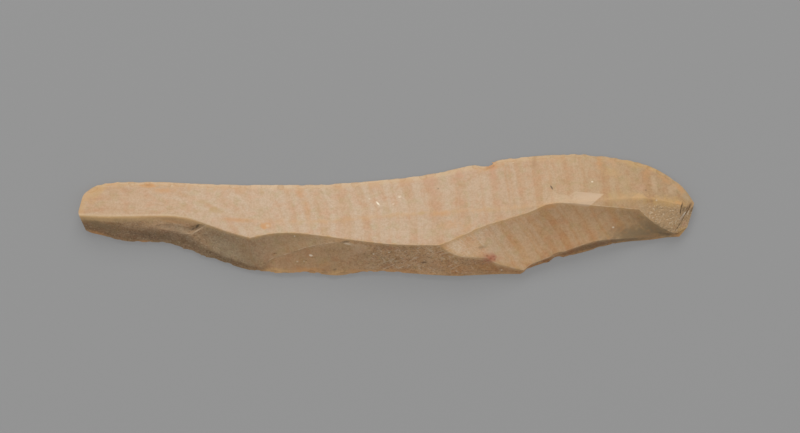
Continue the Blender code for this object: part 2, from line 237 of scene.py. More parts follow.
def struck_blade():
    """The blade as it left the core: a dorsal grid of flake faces over a nearly flat ventral one."""
    run = rib_shares()
    columns = []
    brinks = []
    for upper, lower, count, hollow in flake_faces:
        start, end = line_points(upper, run), line_points(lower, run)
        width = np.linalg.norm(end - start, axis=1)
        brink = np.minimum(np.interp(run, *zip(*brink_wear)) / width, 0.2)
        deepest = np.interp(run, *zip(*hollow)) * width
        brinks.append(len(columns))
        columns += [face_column(start, end, brink, deepest, k, count) for k in range(count)]
    columns.append(line_points(back_edge, run))
    dorsal = np.stack(columns, axis=1)
    for j in brinks[1:]:
        dorsal[:, j] = (2 * dorsal[:, j] + dorsal[:, j - 1] + dorsal[:, j + 1]) / 4
    worn = np.interp(run, *zip(*left_wear))[:, None, None]
    for _ in range(worn_passes):
        dorsal[:, 1:-1] += worn * (dorsal[:, 2:] + dorsal[:, :-2] - 2 * dorsal[:, 1:-1]) / 4
    ribs, width = dorsal.shape[:2]
    across = (dorsal[:, :, 1] - dorsal[:, -1:, 1]) / (dorsal[:, :1, 1] - dorsal[:, -1:, 1])
    from_rim = np.minimum(across, 1 - across) / rim_share
    from_end = np.minimum(run, 1 - run)[:, None] / end_share
    lift = 1 - np.minimum(np.minimum(from_rim, from_end), 1)
    ventral = dorsal.copy()
    ventral[:, :, 2] = blade_low[2] + rim_lift * lift**2

    mesh = bmesh.new()
    roof = [[mesh.verts.new(point) for point in rib] for rib in dorsal]
    floor = [[mesh.verts.new(point) for point in rib] for rib in ventral]
    for i in range(ribs - 1):
        for j in range(width - 1):
            mesh.faces.new((roof[i][j], roof[i][j + 1], roof[i + 1][j + 1], roof[i + 1][j]))
            mesh.faces.new((floor[i][j], floor[i + 1][j], floor[i + 1][j + 1], floor[i][j + 1]))
    rim = [(i, 0) for i in range(ribs)] + [(ribs - 1, j) for j in range(1, width)]
    rim += [(i, width - 1) for i in range(ribs - 2, -1, -1)]
    rim += [(0, j) for j in range(width - 2, 0, -1)]
    for (i, j), (k, m) in zip(rim, rim[1:] + rim[:1]):
        mesh.faces.new((roof[i][j], roof[k][m], floor[k][m], floor[i][j]))
    bmesh.ops.triangulate(mesh, faces=list(mesh.faces))
    bmesh.ops.recalc_face_normals(mesh, faces=list(mesh.faces))
    data = bpy.data.meshes.new("flint_blade")
    mesh.to_mesh(data)
    mesh.free()
    piece = bpy.data.objects.new("flint_blade", data)
    bpy.context.scene.collection.objects.link(piece)
    return piece


blade = struck_blade()

# After the long flakes came small ones: a lozenge on the dorsal ridge, a step fracture and steep
# scars on the back, chips along both edges, pits where grains fell out, and cracks at the butt.
small_scars = (
    # what, at (along, across), side, heading in degrees from +X, (length, width, depth) in mm
    ("ridge lozenge", (0.819, 0.640), 1, 4, (7.2, 2.1, 0.16)),
    ("step fracture", (0.192, 0.394), 1, 28, (3.0, 1.3, 0.35)),
    ("lens scar", (0.156, 0.393), 1, -8, (5.6, 1.6, 0.15)),
    ("back scar", (0.042, 0.360), 1, -15, (4.6, 1.5, 0.18)),
    ("back scar", (0.099, 0.327), 1, -6, (4.2, 1.3, 0.16)),
    ("back scar", (0.137, 0.300), 1, -20, (3.8, 1.2, 0.15)),
    ("edge chip", (0.368, 0.737), 1, 0, (1.3, 0.7, 0.12)),
    ("edge chip", (0.408, 0.741), 1, 0, (1.8, 0.7, 0.12)),
    ("edge chip", (0.454, 0.756), 1, 5, (1.6, 0.7, 0.14)),
    ("edge chip", (0.509, 0.782), 1, 10, (1.7, 0.7, 0.14)),
    ("edge chip", (0.574, 0.828), 1, 16, (1.5, 0.8, 0.16)),
    ("edge chip", (0.747, 0.969), 1, 6, (1.4, 0.7, 0.12)),
    ("back chip", (0.080, 0.300), 1, 5, (1.8, 0.9, 0.22)),
    ("back chip", (0.574, 0.030), 1, 5, (1.6, 0.9, 0.20)),
    ("back chip", (0.776, 0.176), 1, 30, (2.4, 1.0, 0.22)),
    ("pit", (0.319, 0.181), 1, 20, (0.7, 0.5, 0.12)),
    ("pit", (0.359, 0.138), 1, 60, (0.5, 0.4, 0.09)),
    ("pit", (0.369, 0.122), 1, 10, (0.6, 0.4, 0.09)),
    ("pit", (0.379, 0.148), 1, -30, (0.5, 0.4, 0.08)),
    ("crescent", (0.434, 0.276), 1, 0, (1.3, 0.5, 0.12)),
    ("pit", (0.561, 0.109), 1, 5, (0.9, 0.4, 0.12)),
    ("bulb scar", (0.925, 0.560), -1, 170, (6.8, 4.6, 0.26)),
    ("ventral chip", (0.300, 0.700), -1, 90, (1.6, 1.2, 0.10)),
    ("ventral chip", (0.470, 0.735), -1, 80, (2.0, 1.3, 0.10)),
    ("ventral chip", (0.720, 0.930), -1, 95, (1.8, 1.2, 0.10)),
)
ball_to_depth = 3.0
clear_of_stone = 0.02
scoops = bpy.data.collections.new("scoops")
bpy.context.scene.collection.children.link(scoops)
whole_stone = BVHTree.FromObject(blade, bpy.context.evaluated_depsgraph_get())


def in_plan(at):
    """Where a point given by its shares (along, across) lies, in metres."""
    return [blade_low[k] + at[k] * (blade_high[k] - blade_low[k]) for k in (0, 1)]


def add_scoop(at, side, heading, size):
    """A flattened ball set into the stone's surface, whose cap is the scar's real size."""
    outward = Vector((0, 0, side))
    start = Vector((*in_plan(at), 0)) + clear_of_stone * outward
    place, normal, _, _ = whole_stone.ray_cast(start, -outward)
    length, width, depth = (0.001 * part for part in size)
    rise = ball_to_depth * depth
    spread = math.sqrt(1 - (1 - 1 / ball_to_depth) ** 2)
    heading = math.radians(heading)
    forward = Vector((math.cos(heading), math.sin(heading), 0))
    forward = (forward - forward.project(normal)).normalized()
    turn = Matrix((forward, normal.cross(forward), normal)).transposed().to_4x4()
    ball = bmesh.new()
    bmesh.ops.create_icosphere(ball, subdivisions=4, radius=1)
    bmesh.ops.scale(ball, vec=(length / 2 / spread, width / 2 / spread, rise), verts=ball.verts)
    ball.transform(Matrix.Translation(place + normal * (rise - depth)) @ turn)
    data = bpy.data.meshes.new("scoop")
    ball.to_mesh(data)
    ball.free()
    scoops.objects.link(bpy.data.objects.new("scoop", data))


for _, at, side, heading, size in small_scars:
    add_scoop(at, side, heading, size)

# Two cracks cross the butt, each in short straight lengths: its turning points and its width in mm
butt_cracks = (
    (((0.9805, 0.600), (0.9779, 0.5535), (0.9767, 0.504)), 0.20),
    (((0.9946, 0.589), (0.9901, 0.545), (0.9836, 0.492), (0.9787, 0.442), (0.9688, 0.368)), 0.15),
)
crack_depth = 0.13
crack_overlap = 1.3
crack_narrowing = 0.8
crack_lengths = []
for turns, width in butt_cracks:
    for start, end in zip(turns[:-1], turns[1:]):
        middle = [(start[k] + end[k]) / 2 for k in (0, 1)]
        run = [1000 * (end[0] - start[0]) * blade_length, 1000 * (end[1] - start[1]) * blade_width]
        length, heading = math.hypot(*run), math.degrees(math.atan2(run[1], run[0]))
        crack_lengths.append((middle, heading, length, width))
        add_scoop(middle, 1, heading, (crack_overlap * length, width, crack_depth))
        width *= crack_narrowing
struck_off = blade.modifiers.new("small_scars", "BOOLEAN")
struck_off.operation = "DIFFERENCE"
struck_off.operand_type = "COLLECTION"
struck_off.collection = scoops
struck_off.solver = "MANIFOLD"

# Fine retouch runs along the cutting edge and coarser retouch along the back. Each scar is where
# pressure from the ventral side lifted a small flake off the edge, a millimetre or two wide.


def retouch_tree():
    """Strikes scoops off a stone along an edge curve, spaced and sized at random from a seed."""
    tree = bpy.data.node_groups.new("edge_retouch", "GeometryNodeTree")
    sockets = (
        ("Stone", "NodeSocketGeometry", None), ("Edge", "NodeSocketObject", None),
        ("Flint", "NodeSocketMaterial", None), ("Spacing", "NodeSocketFloat", 0.0015),
        ("Least Scar", "NodeSocketVector", (0.0006, 0.0005, 0.0004)),
        ("Greatest Scar", "NodeSocketVector", (0.0012, 0.0008, 0.0007)),
        ("Least Stand-off", "NodeSocketVector", (0, 0.0002, 0.0006)),
        ("Greatest Stand-off", "NodeSocketVector", (0, 0.0003, 0.0008)),
        ("Seed", "NodeSocketInt", 1),
    )
    for name, kind, default in sockets:
        socket = tree.interface.new_socket(name, in_out="INPUT", socket_type=kind)
        if default is not None:
            socket.default_value = default
    tree.interface.new_socket("Stone", in_out="OUTPUT", socket_type="NodeSocketGeometry")
    new, link = tree.nodes.new, tree.links.new
    given = new("NodeGroupInput").outputs

    edge = new("GeometryNodeObjectInfo")
    link(given["Edge"], edge.inputs["Object"])
    steps = new("GeometryNodeResampleCurve")
    steps.mode = "LENGTH"
    link(edge.outputs["Geometry"], steps.inputs["Curve"])
    link(given["Spacing"], steps.inputs["Length"])
    tangent = new("GeometryNodeInputTangent")
    along_edge = new("FunctionNodeAlignRotationToVector")
    along_edge.axis = "X"
    link(tangent.outputs["Tangent"], along_edge.inputs["Vector"])
    upright = new("FunctionNodeAlignRotationToVector")
    upright.axis = "Z"
    upright.pivot_axis = "X"
    upright.inputs["Vector"].default_value = (0, 0, 1)
    link(along_edge.outputs["Rotation"], upright.inputs["Rotation"])

    def at_random(least, greatest, offset):
        pick = new("FunctionNodeRandomValue")
        pick.data_type = "FLOAT_VECTOR"
        seed = new("ShaderNodeMath")
        seed.inputs[1].default_value = offset
        link(given["Seed"], seed.inputs[0])
        link(given[least], pick.inputs["Min"])
        link(given[greatest], pick.inputs["Max"])
        link(seed.outputs["Value"], pick.inputs["Seed"])
        return pick.outputs["Value"]

    # Each ball is moved off the edge before it is scaled, so the stand-off stays a true length
    ball = new("GeometryNodeMeshIcoSphere")
    ball.inputs["Radius"].default_value = 1
    ball.inputs["Subdivisions"].default_value = 4
    balls = new("GeometryNodeInstanceOnPoints")
    link(steps.outputs["Curve"], balls.inputs["Points"])
    link(ball.outputs["Mesh"], balls.inputs["Instance"])
    link(upright.outputs["Rotation"], balls.inputs["Rotation"])
    stand_off = new("GeometryNodeTranslateInstances")
    link(balls.outputs["Instances"], stand_off.inputs["Instances"])
    link(at_random("Least Stand-off", "Greatest Stand-off", 7), stand_off.inputs["Translation"])
    stand_off.inputs["Local Space"].default_value = True
    sized = new("GeometryNodeScaleInstances")
    link(stand_off.outputs["Instances"], sized.inputs["Instances"])
    link(at_random("Least Scar", "Greatest Scar", 0), sized.inputs["Scale"])
    sized.inputs["Local Space"].default_value = True

    strike = new("GeometryNodeMeshBoolean")
    strike.operation = "DIFFERENCE"
    strike.solver = "MANIFOLD"
    link(given["Stone"], strike.inputs["Mesh 1"])
    link(sized.outputs["Instances"], strike.inputs["Mesh 2"])
    realised = new("GeometryNodeRealizeInstances")
    link(strike.outputs["Mesh"], realised.inputs["Geometry"])
    coloured = new("GeometryNodeSetMaterial")
    link(realised.outputs["Geometry"], coloured.inputs["Geometry"])
    link(given["Flint"], coloured.inputs["Material"])
    link(coloured.outputs["Geometry"], new("NodeGroupOutput").inputs["Stone"])
    return tree


def edge_curve(name, line, first, last):
    """The path that retouch follows, a stretch of one of the blade's long edges."""
    data = bpy.data.curves.new(name, "CURVE")
    data.dimensions = "3D"
    points = line_points(line, np.linspace(first, last, 240))
    path = data.splines.new("POLY")
    path.points.add(len(points) - 1)
    path.points.foreach_set("co", np.c_[points, np.ones(len(points))].ravel())
    curve = bpy.data.objects.new(name, data)
    bpy.context.scene.collection.objects.link(curve)
    return curve


flint = bpy.data.materials.new("banded_flint")
retouch = retouch_tree()
retouched_edges = (
    {"path": edge_curve("cutting_scars", cutting_edge, 0.02, 0.97), "spacing": 0.0017,
     "least": (0.0008, 0.00055, 0.00052), "greatest": (0.0017, 0.00095, 0.00066),
     "off": ((-0.0007, 0.00002, 0.00042), (0.0007, 0.00024, 0.00056)), "seed": 4},
    {"path": edge_curve("cutting_nibbles", cutting_edge, 0.02, 0.97), "spacing": 0.0021,
     "least": (0.00060, 0.00022, 0.0009), "greatest": (0.00150, 0.00034, 0.0012),
     "off": ((-0.0008, 0.00014, -0.0003), (0.0008, 0.00028, -0.0002)), "seed": 7},
    {"path": edge_curve("back_scars", back_edge, 0.02, 0.97), "spacing": 0.0030,
     "least": (0.0008, 0.0005, 0.00055), "greatest": (0.0017, 0.0009, 0.00085),
     "off": ((-0.0008, -0.00035, 0.00040), (0.0008, -0.00010, 0.00062)), "seed": 11},
    {"path": edge_curve("back_nibbles", back_edge, 0.02, 0.97), "spacing": 0.0019,
     "least": (0.0004, 0.00026, 0.0010), "greatest": (0.0011, 0.00042, 0.0015),
     "off": ((-0.0007, -0.00040, -0.0004), (0.0007, -0.00018, -0.0002)), "seed": 5},
)
for work in retouched_edges:
    node = blade.modifiers.new("retouch", "NODES")
    node.node_group = retouch
    wanted = {"Edge": work["path"], "Flint": flint, "Spacing": work["spacing"],
              "Least Scar": work["least"], "Greatest Scar": work["greatest"],
              "Least Stand-off": work["off"][0], "Greatest Stand-off": work["off"][1],
              "Seed": work["seed"]}
    for socket in retouch.interface.items_tree:
        if socket.in_out == "INPUT" and socket.name in wanted:
            node[socket.identifier] = wanted[socket.name]
worked = blade.evaluated_get(bpy.context.evaluated_depsgraph_get())
retouched = bpy.data.meshes.new_from_object(worked)
blade.modifiers.clear()
blade.data = retouched
for work in retouched_edges:
    bpy.data.objects.remove(work["path"])
for scoop in list(scoops.objects):
    bpy.data.objects.remove(scoop)
bpy.data.collections.remove(scoops)
blade.data.shade_smooth()
sharp_degrees = 24
blade.data.set_sharp_from_angle(angle=math.radians(sharp_degrees))

# The flint is beige and banded in strands like wood grain. The steep back is browner, partly its own
# tone and partly painted shade. Painted light lies along the edges: highlights on the cutting edge and
# an orange glow where the thin edges would let light through. The worn brinks and the patina are
# paler.
fine_run = np.linspace(0, 1, 1400)


def skin_vectors(rows, field):
    """One vector for each point of the skin."""
    values = np.empty(len(rows) * 3)
    rows.foreach_get(field, values)
    return values.reshape(-1, 3)


skin_points = skin_vectors(blade.data.vertices, "co")
skin_normals = skin_vectors(blade.data.vertex_normals, "vector")


def distance_to(*lines):
    """How far each point of the skin is from the nearest of some of the long lines, in mm."""
    points = np.concatenate([line_points(line, fine_run) for line in lines])
    tree = kdtree.KDTree(len(points))
    for number, point in enumerate(points):
        tree.insert(point, number)
    tree.balance()
    return np.array([tree.find(point)[2] for point in skin_points]) * 1000


def below(line):
    """How far each point of the skin is below a long line in plan, in mm, negative above it."""
    x, y, _ = line_points(line, fine_run).T
    level = np.interp(skin_points[:, 0], x, y)
    lean = np.interp(skin_points[:, 0], x, np.hypot(1, np.gradient(y, x)))
    return np.clip((level - skin_points[:, 1]) / lean * 1000, -20, 20)


skin_measures = {
    "below_main": below(main_arris),
    "below_lower": below(lower_arris),
    "from_arris": distance_to(main_arris),
    "from_lower": distance_to(lower_arris),
    "from_ridge": distance_to(dorsal_ridge),
    "from_edge": distance_to(cutting_edge),
    "from_back": distance_to(back_edge),
    "dorsal": np.clip((skin_normals[:, 2] + 0.55) / 0.4, 0, 1),
}
for name, values in skin_measures.items():
    measure = blade.data.attributes.new(name, "FLOAT", "POINT")
    measure.data.foreach_set("value", values.astype(np.float32))


def add(kind, values=None, **settings):
    """A new node in the net being wired, with its settings, and each value set or wired in."""
    node = net.nodes.new(kind)
    for name, value in settings.items():
        setattr(node, name, value)
    for socket, value in (values or {}).items():
        if isinstance(value, bpy.types.NodeSocket):
            net.links.new(value, node.inputs[socket])
        else:
            node.inputs[socket].default_value = value
    return node


def reckon(operation, *values):
    return add("ShaderNodeMath", dict(enumerate(values)), operation=operation).outputs[0]


def reckon_vector(operation, *values):
    return add("ShaderNodeVectorMath", dict(enumerate(values)), operation=operation).outputs


def times(*values):
    product = values[0]
    for value in values[1:]:
        product = reckon("MULTIPLY", product, value)
    return product


def scaled(value, by, plus):
    """The value times by, with plus added to it."""
    return reckon("MULTIPLY_ADD", value, by, plus)


def fade(value, start, end):
    """0 where the value is at start and 1 where it is at end, with a soft turn at both."""
    return add("ShaderNodeMapRange", {"Value": value, "From Min": start, "From Max": end},
               interpolation_type="SMOOTHSTEP").outputs[0]


def noise(place, fineness, detail):
    """Cloudy noise from 0 to 1, with a cloud every 1 / fineness millimetres."""
    return add("ShaderNodeTexNoise",
               {"Scale": fineness, "Detail": detail, "Vector": place}).outputs[0]


def clouds(place, fineness, detail, start, end):
    """Noise with its middle range spread from 0 to 1, so that it leaves separate patches."""
    return fade(noise(place, fineness, detail), start, end)


def layers(depth, fineness, detail):
    """Noise from 0 to 1 that changes with a depth in mm alone, as thin layers in stone do."""
    return add("ShaderNodeTexNoise", {"W": depth, "Scale": fineness, "Detail": detail},
               noise_dimensions="1D").outputs[0]


def blend(share, under, over, way="MIX"):
    return add("ShaderNodeMix", {0: share, 6: under, 7: over}, data_type="RGBA",
               blend_type=way).outputs[2]


def laid(under, tone, mask, strength=1, way="MIX"):
    """The colour under, with a tone laid over it where the mask is, at a strength up to 1."""
    over = tone if isinstance(tone, bpy.types.NodeSocket) else (*tone, 1)
    return blend(mask if strength == 1 else times(mask, strength), under, over, way)


def dyed(under, tone, mask, strength=1):
    """The colour under, darkened by a tone as by a thin wash of dye."""
    return laid(under, tone, mask, strength, "MULTIPLY")


def drawn_out(length, width, turn):
    """The point for a pattern that is drawn out in strokes, turned in degrees from +X."""
    return add("ShaderNodeMapping", {"Vector": point, "Scale": (length, width, 1.0),
                                     "Rotation": (0, 0, math.radians(turn))},
               vector_type="TEXTURE").outputs[0]


def ragged_fade(measure, raggedness, start, end):
    """A fade by a distance on the skin, whose line is uneven."""
    return fade(scaled(ragged, raggedness, measure), start, end)


def along_ramp(stops):
    """A colour that changes along the blade, from rows of (share along, colour)."""
    ramp = add("ShaderNodeValToRGB", {0: along})
    stretch = ramp.color_ramp.elements
    for place, _ in stops[2:]:
        stretch.new(place)
    for element, (place, colour) in zip(sorted(stretch, key=lambda e: e.position), sorted(stops)):
        element.position = place
        element.color = (*colour, 1)
    return ramp.outputs[0]


def along_share(stops):
    """A share that changes along the blade, from rows of (share along, share)."""
    return along_ramp([(place, (share,) * 3) for place, share in stops])


# A patch is a soft oval lying on the stone: 1 inside, 0 outside, and ragged at its edge
patch = net = bpy.data.node_groups.new("patch", "ShaderNodeTree")
for name in ("Point", "Centre", "Half Size"):
    net.interface.new_socket(name, in_out="INPUT", socket_type="NodeSocketVector")
for name in ("Turn", "Softness", "Ragged"):
    net.interface.new_socket(name, in_out="INPUT", socket_type="NodeSocketFloat")
net.interface.new_socket("Mask", in_out="OUTPUT", socket_type="NodeSocketFloat")
given = net.nodes.new("NodeGroupInput").outputs
offset = reckon_vector("SUBTRACT", given["Point"], given["Centre"])[0]
flat = reckon_vector("MULTIPLY", offset, (1, 1, 0))[0]
turned = add("ShaderNodeVectorRotate", {"Vector": flat, "Angle": times(given["Turn"], -1)},
             rotation_type="Z_AXIS").outputs[0]
reach = reckon_vector("LENGTH", reckon_vector("DIVIDE", turned, given["Half Size"])[0])[1]
mask = fade(reckon("ADD", reach, given["Ragged"]), reckon("ADD", 1, given["Softness"]),
            reckon("SUBTRACT", 1, given["Softness"]))
net.links.new(mask, net.nodes.new("NodeGroupOutput").inputs["Mask"])

face_colours = (
    (0.00, (0.500, 0.357, 0.229)), (0.07, (0.510, 0.360, 0.234)), (0.20, (0.532, 0.393, 0.270)),
    (0.36, (0.530, 0.390, 0.267)), (0.52, (0.535, 0.394, 0.270)), (0.69, (0.502, 0.354, 0.230)),
    (0.78, (0.487, 0.340, 0.207)), (0.88, (0.445, 0.302, 0.170)), (0.97, (0.400, 0.268, 0.148)),
)
# Painted shade: the bevel and foot colours are darker and warmer than the face's, partly the stone's
# own browner tone, partly how the steep back looks in shade
bevel_colours_with_shade = (
    (0.00, (0.360, 0.210, 0.090)), (0.05, (0.410, 0.265, 0.135)), (0.085, (0.400, 0.256, 0.140)),
    (0.13, (0.530, 0.345, 0.195)), (0.16, (0.480, 0.318, 0.188)), (0.185, (0.430, 0.280, 0.158)),
    (0.205, (0.385, 0.265, 0.155)), (0.235, (0.370, 0.270, 0.165)), (0.275, (0.390, 0.275, 0.162)),
    (0.303, (0.435, 0.290, 0.170)), (0.36, (0.450, 0.300, 0.166)), (0.395, (0.495, 0.335, 0.196)),
    (0.43, (0.530, 0.345, 0.190)), (0.50, (0.485, 0.300, 0.162)), (0.585, (0.540, 0.345, 0.185)),
    (0.61, (0.695, 0.505, 0.332)), (0.645, (0.660, 0.475, 0.315)), (0.68, (0.605, 0.420, 0.262)),
    (0.72, (0.600, 0.405, 0.240)), (0.766, (0.500, 0.318, 0.178)), (0.823, (0.500, 0.322, 0.178)),
    (0.872, (0.505, 0.332, 0.184)), (0.92, (0.380, 0.244, 0.120)), (0.96, (0.390, 0.245, 0.118)),
)
low_bevel_colours_with_shade = (
    (0.00, (0.270, 0.170, 0.088)), (0.05, (0.310, 0.195, 0.104)), (0.115, (0.262, 0.170, 0.098)),
    (0.18, (0.290, 0.195, 0.112)), (0.24, (0.250, 0.165, 0.088)), (0.29, (0.270, 0.168, 0.086)),
    (0.315, (0.500, 0.310, 0.168)), (0.36, (0.500, 0.310, 0.168)), (0.41, (0.478, 0.310, 0.170)),
    (0.45, (0.490, 0.312, 0.172)), (0.49, (0.475, 0.305, 0.168)), (0.53, (0.490, 0.298, 0.160)),
    (0.57, (0.565, 0.362, 0.203)), (0.62, (0.530, 0.332, 0.178)), (0.65, (0.455, 0.280, 0.150)),
    (0.70, (0.450, 0.250, 0.120)), (0.74, (0.365, 0.165, 0.056)), (0.83, (0.285, 0.170, 0.085)),
    (0.90, (0.265, 0.155, 0.080)), (0.96, (0.370, 0.205, 0.090)),
)
# One dark brown tone is painted shade for the shaded hollows; the others are the stone's own colours
tones = {
    "rust": (0.53, 0.26, 0.095), "ochre": (0.50, 0.31, 0.12), "rose": (0.50, 0.27, 0.17),
    "olive": (0.42, 0.29, 0.13), "chalk": (0.88, 0.77, 0.60), "char": (0.13, 0.085, 0.045),
    "ash": (0.48, 0.37, 0.24), "painted_shade": (0.23, 0.160, 0.085), "honey": (0.66, 0.40, 0.17),
    "iron": (0.41, 0.135, 0.075), "pale": (0.58, 0.42, 0.27), "umber": (0.34, 0.19, 0.09),
    "oxblood": (0.22, 0.060, 0.030), "frost": (0.50, 0.445, 0.370),
}
